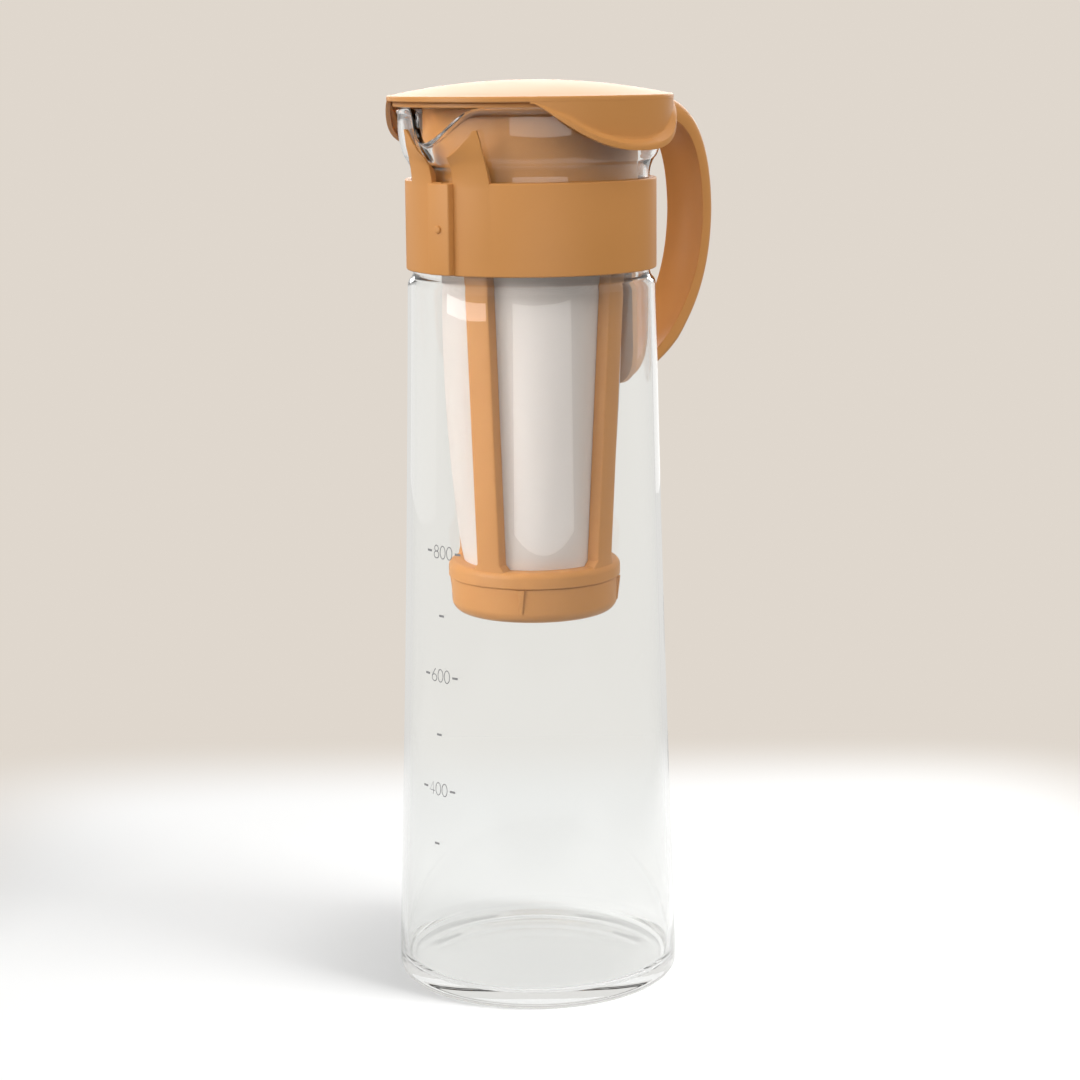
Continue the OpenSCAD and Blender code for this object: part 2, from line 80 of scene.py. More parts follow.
# ---- Glass carafe ----
# Borosilicate glass, blown thin in a turning mould: thick flat base, long taper, round
# shoulder, short neck and flared mouth. The rim is melted to a bead, and the spout is pulled
# out and down with a rod while the glass is soft.
base_r = 0.0465
taper_low, taper_swell, taper_swell_up = 0.009, 0.0022, 0.005
shoulder_r, shoulder_z, shoulder_h, shoulder_ease = 0.0400, 0.2297, 0.0052, 0.0016
neck_r = 0.0381
mouth_r = 0.0426
flare_z = 0.2645
glass_wall = 0.0019
glass_floor, floor_flat_r, floor_edge_sag, floor_sag = 0.005, 0.02, 0.0003, 0.0004
foot_flat_r, foot_edge_z, foot_mid_z = 0.036, 0.0004, 0.0006
foot_round, heel_round = 0.003, 0.004
bead_r, bead_out = 0.0014, 0.0004
rim_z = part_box("glass_carafe")[1].z
flare_h = rim_z - flare_z
spout_pull, spout_dip, spout_half = 0.006, 0.0105, 25


def curve(start, towards, end, steps):
    """Points on a quadratic curve that leaves start towards a second point."""
    points = []
    for i in range(steps + 1):
        t = i / steps
        points.append(tuple((1 - t) ** 2 * a + 2 * t * (1 - t) * b + t * t * c
                            for a, b, c in zip(start, towards, end)))
    return points


def arc(x, z, radius, first, last, steps):
    """Points on an arc about (x, z), between two angles in degrees."""
    angles = [math.radians(first + (last - first) * i / steps) for i in range(steps + 1)]
    return [(x + radius * math.cos(a), z + radius * math.sin(a)) for a in angles]


def spun(name, outline, steps=144, turn=360.0):
    """A piece turned from a half outline of (radius, height), point by point, on its axis."""
    pick()
    bpy.ops.mesh.primitive_circle_add(vertices=3, radius=0.001, enter_editmode=True)
    bpy.ops.mesh.merge(type="CENTER")
    bpy.ops.transform.translate(value=(outline[0][0], 0, outline[0][1]))
    for (r0, z0), (r1, z1) in zip(outline, outline[1:]):
        bpy.ops.mesh.extrude_vertices_move(TRANSFORM_OT_translate={"value": (r1 - r0, 0, z1 - z0)})
    bpy.ops.mesh.select_all(action="SELECT")
    bpy.ops.mesh.spin(steps=steps, angle=math.radians(turn), center=(0, 0, 0), axis=(0, 0, 1))
    bpy.ops.mesh.select_all(action="SELECT")
    bpy.ops.mesh.remove_doubles(threshold=0.000002)
    bpy.ops.mesh.normals_make_consistent(inside=False)
    bpy.ops.object.mode_set(mode="OBJECT")
    piece = bpy.context.object
    piece.name = name
    return piece


def smooth(piece, degrees=40):
    """Shades a piece smooth, with an edge kept wherever it turns by more than this angle."""
    pick(piece)
    bpy.ops.object.shade_smooth_by_angle(angle=math.radians(degrees))


taper = curve((base_r, taper_low), (shoulder_r + taper_swell, shoulder_z / 2 + taper_swell_up),
              (shoulder_r, shoulder_z), 24)
shoulder_mid = ((shoulder_r + neck_r) / 2, shoulder_z + shoulder_h / 2)
neck_z = shoulder_z + shoulder_h
shoulder = (curve((shoulder_r, shoulder_z), (shoulder_r, shoulder_z + shoulder_ease),
                  shoulder_mid, 6)[1:]
            + curve(shoulder_mid, (neck_r, neck_z - shoulder_ease), (neck_r, neck_z), 6)[1:])
flare_mid = ((neck_r + mouth_r) / 2, flare_z + flare_h * 0.29)
flare = (curve((neck_r, flare_z), (neck_r, flare_z + flare_h * 0.17), flare_mid, 7)
         + curve(flare_mid, (mouth_r - 0.0002, flare_z + flare_h * 0.5),
                 (mouth_r, rim_z - 2 * bead_r), 10)[1:])
foot = arc(base_r - foot_round, foot_round, foot_round, -90, 0, 8)
outside = foot + taper + shoulder + flare
bead = arc(mouth_r + bead_out - bead_r, rim_z - bead_r, bead_r, -40, 220, 14)
inside = [(r - glass_wall, z) for r, z in reversed(taper + shoulder + flare)]
heel = arc(base_r - glass_wall - heel_round, glass_floor + heel_round, heel_round, 0, -90, 8)
carafe = spun("carafe_glass", [(0, foot_mid_z), (foot_flat_r, foot_edge_z)] + outside + bead
              + inside + heel + [(floor_flat_r, glass_floor - floor_edge_sag),
                                 (0, glass_floor - floor_sag)])


def spout_bump(degrees):
    """The spout's share of its full pull, at an angle from its middle."""
    if abs(degrees) >= spout_half:
        return 0.0
    return math.cos(math.radians(90 * degrees / spout_half)) ** 4


def spout_shift(r, z, degrees):
    """Where the drawn spout takes a point of the mouth, at an angle from the spout."""
    share = spout_bump(degrees) * min(1.0, max(0.0, (z - flare_z) / flare_h)) ** 1.5
    return r + spout_pull * share, z - spout_dip * share


for vertex in carafe.data.vertices:
    x, y, z = vertex.co
    bearing = math.atan2(-y, -x)
    radius, z = spout_shift(math.hypot(x, y), z, math.degrees(bearing))
    vertex.co = (-radius * math.cos(bearing), -radius * math.sin(bearing), z)
smooth(carafe, 60)


class Signal:
    """A socket of a shader node. Sums with signals and numbers add Math nodes."""

    def __init__(self, socket):
        self.socket = socket

    def node(self, kind, settings, inputs, output=0):
        """Adds any other node to the same material, and gives the output that is asked for."""
        tree = self.socket.id_data
        made = tree.nodes.new("ShaderNode" + kind)
        for name, value in settings.items():
            setattr(made, name, value)
        for name, value in inputs.items():
            if isinstance(value, Signal):
                tree.links.new(value.socket, made.inputs[name])
            else:
                made.inputs[name].default_value = value
        return Signal(made.outputs[output])

    def maths(self, operation, *terms):
        """Adds a Math node that works on these signals and numbers."""
        return self.node("Math", {"operation": operation}, dict(enumerate(terms)))

    def __add__(self, other):
        return self.maths("ADD", self, other)

    __radd__ = __add__

    def __sub__(self, other):
        return self.maths("SUBTRACT", self, other)

    def __rsub__(self, other):
        return self.maths("SUBTRACT", other, self)

    def __mul__(self, other):
        return self.maths("MULTIPLY", self, other)

    __rmul__ = __mul__


def finish(name):
    """A new material: itself, its Principled shader, and Object coordinates to start from."""
    material = bpy.data.materials.new(name)
    material.use_nodes = True
    shader = material.node_tree.nodes["Principled BSDF"]
    place = Signal(shader.inputs[0]).node("TexCoord", {}, {}, "Object")
    return material, shader, place


def feed(shader, name, signal):
    """Links a signal to one of a shader's own sockets."""
    shader.id_data.links.new(signal.socket, shader.inputs[name])


def noise(place, scale, detail):
    """Clouds of a size that falls with scale, from 0 to 1."""
    return place.node("TexNoise", {}, {"Vector": place, "Scale": scale, "Detail": detail})


def raised(height, strength, distance, under=None):
    """The normal of a surface that rises with a signal, on top of another one if it is given."""
    sockets = {"Strength": strength, "Distance": distance, "Height": height}
    if under:
        sockets["Normal"] = under
    return height.node("Bump", {}, sockets, "Normal")


def part(vector, axis):
    """One coordinate of a vector."""
    return vector.node("SeparateXYZ", {}, {"Vector": vector}, axis)


def ray(path, kind):
    """What the Light Path node says of the ray that arrives."""
    return path.node("LightPath", {}, {}, kind)


def lay_over(material, shader, share, other):
    """Mixes a second surface into a material, by a share from 0 to 1."""
    mixed = other.node("MixShader", {}, {0: share, 1: Signal(shader.outputs["BSDF"]), 2: other})
    output = material.node_tree.nodes["Material Output"]
    material.node_tree.links.new(mixed.socket, output.inputs["Surface"])


# The thick foot lets less of a lamp's light through than the wall does.
foot_h, foot_passes, wall_passes = 0.03, 0.66, 0.94
clear, shader, place = finish("clear_glass")
shader.inputs["Base Color"].default_value = (0.980, 0.985, 0.977, 1)
shader.inputs["Roughness"].default_value = 0.0
shader.inputs["IOR"].default_value = 1.47
shader.inputs["Specular IOR Level"].default_value = 0.3
shader.inputs["Transmission Weight"].default_value = 1.0
feed(shader, "Normal", raised(noise(place, 28.0, 1.0), 0.02, 0.002))
lets_pass = place.node("MapRange", {}, {"Value": part(place, "Z"), "From Max": foot_h,
                                        "To Min": foot_passes, "To Max": wall_passes}, "Result")
open_way = place.node("BsdfTransparent", {}, {}, "BSDF")
lay_over(clear, shader, ray(place, "Is Shadow Ray") * lets_pass, open_way)
# Light may turn often inside the thick foot before it comes out again.
cycles = bpy.context.scene.cycles
cycles.max_bounces, cycles.transmission_bounces, cycles.glossy_bounces = 32, 24, 24
carafe.data.materials.append(clear)
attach(carafe, "carafe")
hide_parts("glass_carafe")


# ---- Printed scale ----
# Millilitre marks in line with the spout, screen printed in grey ceramic ink and baked on. The
# numbers stand between two dashes, and a short tick marks each odd hundred. The column of marks
# leans a little along the glass.
marks = (("800", 0.1477), ("600", 0.1076), ("400", 0.0702),
         ("", 0.1271), ("", 0.0882), ("", 0.0520))
ink_t, tick_w, tick_h, tick_gap = 0.00003, 0.0022, 0.0007, 0.0009
digit_h, digit_pitch, digit_half = 0.0041, 0.0029, 0.30
stroke_r, stroke_room = 0.00016, 0.0002
column_lean, column_shift = 0.0188, -0.0007
round_turn = [(math.cos(a * math.pi / 12), math.sin(a * math.pi / 12)) for a in range(24)]
low_ring = [(0.28 * x, 0.27 * y - 0.23) for x, y in round_turn]
# Each stroke is a row of points in digit heights about the digit's middle. A ring is closed.
strokes = {
    "0": [[(0.28 * x, 0.5 * y) for x, y in round_turn]],
    "4": [[(0.12, -0.5), (0.12, 0.5), (-digit_half, -0.22), (digit_half, -0.22)]],
    "6": [low_ring, [(0.13, 0.5), (0.0, 0.34), (-0.14, 0.14), (-0.24, -0.06), (-0.28, -0.22)]],
    "8": [[(0.22 * x, 0.23 * y + 0.27) for x, y in round_turn], low_ring],
}


def glass_radius(z):
    """Outer radius of the glass at a height of its long taper."""
    for (r0, z0), (r1, z1) in zip(taper, taper[1:]):
        if z <= z1:
            return r0 + (r1 - r0) * (z - z0) / (z1 - z0)
    return shoulder_r


def wrapped(piece, z):
    """Bends a flat print, drawn about the origin in X and Y, round the glass at a height."""
    for vertex in piece.data.vertices:
        across, up, out = vertex.co
        radius = glass_radius(z + up) + out
        shift = column_shift + column_lean * (z - marks[0][1])
        bearing = math.pi + (across + shift) / glass_radius(z)
        vertex.co = (radius * math.cos(bearing), radius * math.sin(bearing), z + up)


def tick(x, z):
    """One dash of ink, centred at a distance x along the glass from the spout's line."""
    pick()
    bpy.ops.mesh.primitive_cube_add(size=1, enter_editmode=True)
    bpy.ops.transform.resize(value=(tick_w, tick_h, ink_t * 2))
    bpy.ops.transform.translate(value=(x, 0, 0))
    bpy.ops.mesh.subdivide(number_cuts=3)
    bpy.ops.object.mode_set(mode="OBJECT")
    wrapped(bpy.context.object, z)
    return bpy.context.object


def number(digits, z):
    """Three digits of ink, drawn as thin round lines, pressed flat and laid on the glass."""
    lines = bpy.data.curves.new("number", "CURVE")
    lines.dimensions = "3D"
    lines.bevel_depth, lines.bevel_resolution, lines.use_fill_caps = stroke_r, 1, True
    for order, digit in enumerate(digits):
        middle = (order - 1) * digit_pitch
        for points in strokes[digit]:
            line = lines.splines.new("POLY")
            line.points.add(len(points) - 1)
            for point, (x, y) in zip(line.points, points):
                point.co = (middle + x * digit_h, y * digit_h, 0, 1)
            line.use_cyclic_u = len(points) == len(round_turn)
    piece = bpy.data.objects.new("number", lines)
    bpy.context.collection.objects.link(piece)
    pick(piece)
    bpy.ops.object.convert(target="MESH")
    piece = bpy.context.object
    for vertex in piece.data.vertices:
        vertex.co.z *= ink_t / stroke_r
    wrapped(piece, z)
    return piece


prints = []
dash_x = digit_pitch + digit_half * digit_h + stroke_room + tick_gap + tick_w / 2
for digits, z in marks:
    if digits:
        prints += [number(digits, z), tick(-dash_x, z), tick(dash_x, z)]
    else:
        prints.append(tick(0, z))
pick(*prints)
bpy.ops.object.join()
scale = bpy.context.object
scale.name = "volume_scale"


def tinted(share, before, after):
    """One colour where a share is 0, another where it is 1, and a mix between."""
    return share.node("Mix", {"data_type": "RGBA"}, {0: share, 6: before, 7: after}, 2)


ink, shader, place = finish("scale_ink")
feed(shader, "Base Color", tinted(noise(place, 3000.0, 2.0), (0.17, 0.17, 0.17, 1),
                                  (0.26, 0.26, 0.26, 1)))
shader.inputs["Roughness"].default_value = 0.55
scale.data.materials.clear()
scale.data.materials.append(ink)
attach(scale, "carafe")


# ---- Neck band ----
# A split collar of tan polypropylene, moulded open and sprung round the neck. Two pointed
# horns rise from it beside the spout, and a dovetail on its two ends takes the clip.
band_top, band_z = 0.2640, 0.2353
band_in, band_wall = 0.03826, 0.002
band_out = band_in + band_wall
band_gap = 0.0008
horn_h, horn_corner_h, horn_root, horn_gap, horn_lean = 0.0161, 0.0079, 0.0025, 0.0004, 0.0030
horn_in_a, horn_tip_a, horn_tip_half, horn_out_a = 6.5, 20.2, 0.9, 24.5
horn_inset, horn_least_t = 0.00005, 0.0008
rail_h, rail_half, rail_flare, rail_inset = 0.00105, 0.0015, 0.0006, 0.0002
# Sharp moulded corners are taken off by a fine or a soft edge. A solid that cuts another one
# overruns its faces.
fine_edge, soft_edge, overrun = 0.0002, 0.0003, 0.001


def at_bearing(radius, degrees, z):
    """A point at an angle round the axis from the spout, anticlockwise from above."""
    bearing = math.radians(180 + degrees)
    return radius * math.cos(bearing), radius * math.sin(bearing), z


def slab(name, columns, rows, point, edge=0.0):
    """A closed plate whose points come from shares of its width, height and thickness."""
    pick()
    bpy.ops.mesh.primitive_grid_add(x_subdivisions=columns, y_subdivisions=rows, size=1,
                                    enter_editmode=True)
    bpy.ops.mesh.extrude_region_move(TRANSFORM_OT_translate={"value": (0, 0, 1)})
    bpy.ops.object.mode_set(mode="OBJECT")
    piece = bpy.context.object
    piece.name = name
    for vertex in piece.data.vertices:
        vertex.co = point(vertex.co.x + 0.5, vertex.co.y + 0.5, vertex.co.z)
    bpy.ops.object.mode_set(mode="EDIT")
    bpy.ops.mesh.select_all(action="SELECT")
    bpy.ops.mesh.remove_doubles(threshold=0.000002)
    bpy.ops.mesh.normals_make_consistent(inside=False)
    bpy.ops.object.mode_set(mode="OBJECT")
    if edge:
        bpy.ops.object.modifier_add(type="BEVEL")
        bevel = piece.modifiers[-1]
        bevel.width, bevel.segments, bevel.angle_limit = edge, 3, math.radians(50)
        bpy.ops.object.modifier_apply(modifier=bevel.name)
    return piece


def combine(piece, tool, operation):
    """Joins a solid to a piece, or cuts it out of the piece, and uses the solid up."""
    pick(piece)
    bpy.ops.object.modifier_add(type="BOOLEAN")
    boolean = piece.modifiers[-1]
    boolean.object, boolean.operation = tool, operation
    bpy.ops.object.modifier_apply(modifier=boolean.name)
    bpy.data.objects.remove(tool)


def block(name, low, high, edge=0.0):
    """A box between two corners, with its edges rounded off."""
    def point(u, v, w):
        return tuple(a + (b - a) * share for a, b, share in zip(low, high, (u, v, w)))
    return slab(name, 1, 1, point, edge)


def flare_radius(z):
    """Outer radius of the glass at a height of the mouth, before the spout draws it out."""
    if z <= flare[0][1]:
        return neck_r
    for (r0, z0), (r1, z1) in zip(flare, flare[1:]):
        if z <= z1:
            return r0 + (r1 - r0) * (z - z0) / (z1 - z0)
    return mouth_r


def horn_top(degrees):
    """Height of a horn's upper edge at an angle from the spout."""
    if degrees < horn_tip_a - horn_tip_half:
        share = (degrees - horn_in_a) / (horn_tip_a - horn_tip_half - horn_in_a)
        return band_top + horn_corner_h + (horn_h - horn_corner_h) * share ** 1.4
    share = (horn_out_a - degrees) / (horn_out_a - horn_tip_a - horn_tip_half)
    return band_top + horn_h * min(1.0, share + 0.04)


def horn_inside(z, degrees):
    """Radius of a horn's inner face, which follows the drawn-out glass at a gap."""
    before_dip = z + spout_dip * spout_bump(degrees) * max(0.0, (z - flare_z) / flare_h) ** 1.5
    share = spout_bump(degrees) * max(0.0, (before_dip - flare_z) / flare_h) ** 1.5
    return flare_radius(min(before_dip, rim_z)) + spout_pull * share + horn_gap


def horn_point(u, v, w):
    """A point of a horn: round it with u, up it with v and out through it with w."""
    # Columns gather at the tip, so that its corner stays sharp.
    to_tip = 0.7
    if u < to_tip:
        degrees = horn_in_a + (horn_tip_a - horn_in_a) * u / to_tip
    else:
        degrees = horn_tip_a + (horn_out_a - horn_tip_a) * (u - to_tip) / (1 - to_tip)
    low = band_top - horn_root
    z = low + (horn_top(degrees) - low) * v
    lean = (horn_lean * ((z - low) / horn_h) ** 1.5
            + spout_pull * spout_bump(degrees) * max(0.0, (z - flare_z) / flare_h) ** 1.5)
    inner = horn_inside(z, degrees)
    outer = max(band_out - horn_inset + lean, inner + horn_least_t)
    return at_bearing(inner + w * (outer - inner), degrees, z)


def to_other_side():
    """Mirrors the active piece to the other side of the plane through spout and grip."""
    bpy.ops.transform.mirror(constraint_axis=(False, True, False), center_override=(0, 0, 0))
    bpy.ops.object.transform_apply(location=True, rotation=True, scale=True)
    bpy.ops.object.mode_set(mode="EDIT")
    bpy.ops.mesh.select_all(action="SELECT")
    bpy.ops.mesh.normals_make_consistent(inside=False)
    bpy.ops.object.mode_set(mode="OBJECT")


band_round = 0.0005
ring = ([(band_in, band_z + fine_edge), (band_in + fine_edge, band_z)]
        + arc(band_out - band_round, band_z + band_round, band_round, -90, 0, 4)
        + arc(band_out - band_round, band_top - band_round, band_round, 0, 90, 4)
        + [(band_in + fine_edge, band_top), (band_in, band_top - fine_edge),
           (band_in, band_z + fine_edge)])
band = spun("neck_band_collar", ring, 180)
for side in (1, -1):
    horn = slab("horn", 20, 12, horn_point, 0.0003)
    if side < 0:
        to_other_side()
    combine(band, horn, "UNION")
rail = block("rail", (-band_out - rail_h, -rail_half - rail_flare, band_z + rail_inset),
             (-band_out + rail_flare, rail_half + rail_flare, band_top - rail_inset))
for vertex in rail.data.vertices:
    if vertex.co.x > -band_out:
        vertex.co.y = math.copysign(rail_half, vertex.co.y)
combine(band, rail, "UNION")
combine(band, block("split", (-band_out - 5 * overrun, -band_gap / 2, band_z - overrun),
                    (-band_in + 2 * overrun, band_gap / 2, band_top + overrun)), "DIFFERENCE")
smooth(band, 35)


def tan_plastic(name):
    """Satin tan polypropylene: a faint cloud of colour and shine over a fine moulded grain."""
    material, shader, place = finish(name)
    cloud = noise(place, 35.0, 3.0)
    feed(shader, "Base Color", tinted(cloud, (0.590, 0.262, 0.072, 1), (0.640, 0.292, 0.088, 1)))
    feed(shader, "Roughness", cloud * 0.08 + 0.40)
    feed(shader, "Normal", raised(noise(place, 2600.0, 2.0), 0.05, 0.0002))
    return material


plastic = tan_plastic("tan_plastic")


def moulded(piece, body, *nodes):
    """Gives a plastic piece its finish and its body, and hides the solids from model.glb that it
    stands for.
    """
    piece.data.materials.clear()
    piece.data.materials.append(plastic)
    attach(piece, body)
    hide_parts(*nodes)


moulded(band, "carafe", "neck_band")


# ---- Band clip ----
# A small moulded plate that slides down over the dovetail on the band's ends and holds them
# shut. A low round boss stands on its face.
clip_w, clip_t, clip_round, groove_gap = 0.009, 0.00205, 0.0005, 0.0001
boss_r, boss_h, boss_round, boss_root = 0.0013, 0.0007, 0.0006, 0.0004
clip_out = band_out + clip_t
clip_low, clip_high = band_z + rail_inset, band_top - rail_inset
clip = block("clip_plate", (-clip_out, -clip_w / 2, clip_low),
             (-band_out + overrun, clip_w / 2, clip_high), clip_round)
combine(clip, spun("neck_bore", [(0, band_z - overrun), (band_out, band_z - overrun),
                                 (band_out, band_top + overrun), (0, band_top + overrun)], 180),
        "DIFFERENCE")
groove_half = rail_half + rail_flare + groove_gap
groove = block("groove", (-band_out - rail_h - groove_gap, -groove_half, band_z - overrun),
               (-band_out + 2 * overrun, groove_half, band_top + overrun))
for vertex in groove.data.vertices:
    if vertex.co.x > -band_out:
        vertex.co.y = math.copysign(rail_half + groove_gap, vertex.co.y)
combine(clip, groove, "DIFFERENCE")
boss = spun("boss", [(0, -boss_root), (boss_r, -boss_root)]
            + arc(boss_r - boss_round, boss_h - boss_round, boss_round, 0, 90, 5)
            + [(0.0003, boss_h + 0.00005), (0, boss_h)], 32)
bpy.ops.transform.rotate(value=math.radians(90), orient_axis="Y", center_override=(0, 0, 0))
bpy.ops.object.transform_apply(location=True, rotation=True, scale=True)
boss.data.transform(Matrix.Translation((-clip_out, 0, (band_z + band_top) / 2)))
combine(clip, boss, "UNION")
smooth(clip, 35)
moulded(clip, "carafe", "band_clip")


# ---- Grip ----
# A looped handle of crescent section, crowned outside and dished inside for the fingers, on
# a curved spine that lies against the band and ends in a round tongue on the glass.
grip_w, grip_reach = 0.0165, 0.0792
grip_edge_t, grip_crown, grip_dish, grip_round = 0.0037, 0.005, 0.002, 0.0013
arch_z, tongue_z = 0.2832, 0.1935
spine_w, spine_t, glass_gap = 0.024, 0.0033, 0.00016
spine_in = band_out
arch = (spine_in + 0.015, arch_z)
side = (grip_reach, (arch_z + tongue_z) / 2 + 0.012)
low_bend = (grip_reach - 0.0115, tongue_z + 0.0225)
# The grip's middle line in (x, z). Each stretch leaves one of these points towards a handle
# point and ends at the next.
grip_line = (curve((spine_in + 0.0044, band_top - 0.001), (spine_in + 0.0056, arch_z + 0.0002),
                   arch, 18)
             + curve(arch, (grip_reach - 0.0008, arch_z + 0.0002), side, 28)[1:]
             + curve(side, (grip_reach - 0.0003, tongue_z + 0.036), low_bend, 20)[1:]
             + curve(low_bend, (spine_in + 0.017, tongue_z + 0.009),
                     (spine_in + 0.0024, tongue_z + 0.0042), 18)[1:])
last = len(grip_line) - 1


def grip_point(u, v, w):
    """A point of the grip: along its line with u, across it with v and outwards with w."""
    k = round(u * last)
    across = 2 * v - 1
    x, z = grip_line[k]
    x0, z0 = grip_line[max(k - 1, 0)]
    x1, z1 = grip_line[min(k + 1, last)]
    length = math.hypot(x1 - x0, z1 - z0)
    outward = (-(z1 - z0) / length, (x1 - x0) / length)
    fade = 0.1 + 0.9 * min(1.0, min(k, last - k) / 14)
    half, rim = grip_w / 2, grip_edge_t / 2
    if w > 0.5:
        place = math.sin(across * math.pi / 2)
        rise = rim * 0.5 + (rim * 0.5 + grip_crown * fade) * math.sqrt(max(0.0, 1 - place * place))
    else:
        place = across * 0.97
        rise = -rim + grip_dish * fade * (1 - across * across)
    return x + outward[0] * rise, half * place, z + outward[1] * rise


grip = slab("grip_loop", last, 14, grip_point, grip_round)
back = [(r + glass_gap, z) for r, z in taper if z > tongue_z - spine_w]
back += [(spine_in, band_z), (spine_in, band_top + 0.003)]
front = [(max(r, spine_in) + spine_t, z) for r, z in back]
spine_ring = spun("spine_ring", back + front[::-1] + back[:1], 180)
tongue = slab("tongue_block", 24, 1, lambda u, v, w: (
    0.02 + 0.05 * w, spine_w * (u - 0.5),
    (tongue_z + spine_w / 2 - math.sqrt(max(0.0, 0.25 - (u - 0.5) ** 2)) * spine_w) * (1 - v)
    + (band_top + 0.004) * v))
combine(spine_ring, tongue, "INTERSECT")
combine(grip, spine_ring, "UNION")
smooth(grip, 60)
moulded(grip, "carafe", "grip_handle")


# ---- Strainer frame ----
# One moulding with the filter cloth cast into it: a flange that hangs on the glass's rim, a
# short cylinder, four ribs with rounded window corners, and a ring with a spigot for the cap.
flange_z, flange_top, flange_r = 0.2868, 0.28845, 0.04375
tube_r, tube_wall, tube_z, window_top = 0.03435, 0.0016, 0.2500, 0.2410
seam_z, ring_h, ring_r, ring_round = 0.1350, 0.0052, 0.0282, 0.0022
rib_top_r, rib_bottom_r, rib_w, rib_depth, window_fillet = 0.0326, 0.0273, 0.0085, 0.0041, 0.002
strainer_turn, cap_turn = 10, 34
cap_r, cap_wall, spigot_gap, spigot_h = 0.0275, 0.0018, 0.00008, 0.0075
cloth_t = 0.0004
flange_round, flange_fillet, tube_turn, throat_h = 0.0004, 0.0006, 0.001, 0.0015
rib_root, rib_inset, rib_round = 0.0016, 0.00005, 0.0004
ring_top = seam_z + ring_h
tube_in = tube_r - tube_wall
spigot_r = cap_r - cap_wall - spigot_gap
ring_in = rib_bottom_r - rib_depth - cloth_t
throat_r = rib_top_r - rib_depth - cloth_t


def rib_point(u, v, w):
    """A point of a rib, which widens by a fillet at both ends of the windows beside it."""
    low, high = ring_top - rib_root, window_top + overrun
    z = low + (high - low) * v
    reach = min(z - ring_top, window_top - z)
    chord = max(0.0, window_fillet - reach)
    flare_out = window_fillet - math.sqrt(max(0.0, window_fillet ** 2 - chord ** 2))
    half = rib_w / 2 + (flare_out if reach > 0 else window_fillet)
    share = (z - ring_top) / (window_top - ring_top)
    radius = rib_bottom_r + (rib_top_r - rib_bottom_r) * share - rib_inset
    across = (2 * u - 1) * half
    outer = math.sqrt(max(0.0, radius ** 2 - across ** 2))
    inner = math.sqrt(max(0.0, (radius - rib_depth) ** 2 - across ** 2))
    return inner + (outer - inner) * w, across, z


top = [(tube_in, flange_top - soft_edge), (tube_in + soft_edge, flange_top)]
top += arc(flange_r - flange_round, flange_top - flange_round, flange_round, 90, 0, 4)
top += [(flange_r, flange_z + fine_edge), (flange_r - fine_edge, flange_z)]
top += [(tube_r + flange_fillet, flange_z), (tube_r, flange_z - flange_fillet),
        (tube_r, tube_z + tube_turn)]
top += curve((tube_r, tube_z + tube_turn), (tube_r, tube_z),
             (tube_r - fine_edge, tube_z - tube_turn), 4)[1:]
top += [(rib_top_r, window_top), (throat_r, window_top), (throat_r, window_top + throat_h),
        (tube_in, tube_z + tube_turn), (tube_in, flange_top - soft_edge)]
strainer = spun("strainer_moulding", top, 180)
rib_rows = 60
for i in range(4):
    rib = slab("rib", 6, rib_rows, rib_point, rib_round)
    rib.data.transform(Matrix.Rotation(math.radians(180 + strainer_turn + 90 * i), 4, "Z"))
    combine(strainer, rib, "UNION")
foot_ring = [(ring_in, seam_z - spigot_h), (spigot_r, seam_z - spigot_h), (spigot_r, seam_z),
             (ring_r - fine_edge, seam_z), (ring_r, seam_z + fine_edge)]
foot_ring += arc(ring_r - ring_round, ring_top - ring_round, ring_round, 0, 90, 8)
foot_ring += [(ring_in, ring_top), (ring_in, seam_z - spigot_h)]
combine(strainer, spun("foot_ring", foot_ring, 180), "UNION")
smooth(strainer, 35)
moulded(strainer, "strainer", "strainer_frame")


# ---- Filter cloth ----
# Fine woven polyester, cut as part of a cone and cast into the frame, so that it is held
# taut at the ribs and swells a little out of each window.
cloth_swell = 0.0026
cloth_gap = 0.00005
cloth_low, cloth_high = ring_top + cloth_gap, window_top - cloth_gap
sheet_t = 0.00015
half_window = 28.9
thread_pitch, threads_round = 0.00025, 340
cloth_rows, tube_start_r = 48, 0.02


def cloth_radius(degrees, share):
    """Radius of the cloth's outer face, at an angle from a rib and a share of its height."""
    off = abs(degrees % 90 - 45) / half_window
    swell = cloth_swell * max(0.0, 1 - off * off) * max(0.0, math.sin(math.pi * share)) ** 0.7
    base = rib_bottom_r + (rib_top_r - rib_bottom_r) * share - rib_depth - cloth_gap
    return base + swell


wall = [(tube_start_r, cloth_low + (cloth_high - cloth_low) * i / cloth_rows)
        for i in range(cloth_rows + 1)]
wall += [(tube_start_r - sheet_t, z) for r, z in reversed(wall)]
cloth = spun("filter_cloth", wall + wall[:1], 192)
for vertex in cloth.data.vertices:
    x, y, z = vertex.co
    out = math.hypot(x, y)
    degrees = math.degrees(math.atan2(y, x)) - 180 - strainer_turn
    share = (z - cloth_low) / (cloth_high - cloth_low)
    radius = cloth_radius(degrees, share) - (tube_start_r - out)
    vertex.co = (x / out * radius, y / out * radius, z)
smooth(cloth, 60)
weave, shader, place = finish("filter_cloth")
bearing = place.maths("ARCTAN2", part(place, "Y"), part(place, "X"))


def thread(signal):
    """How high a row of threads stands: 1 on the thread's crown and 0 between two threads."""
    return signal.maths("ABSOLUTE", signal.maths("SINE", signal))


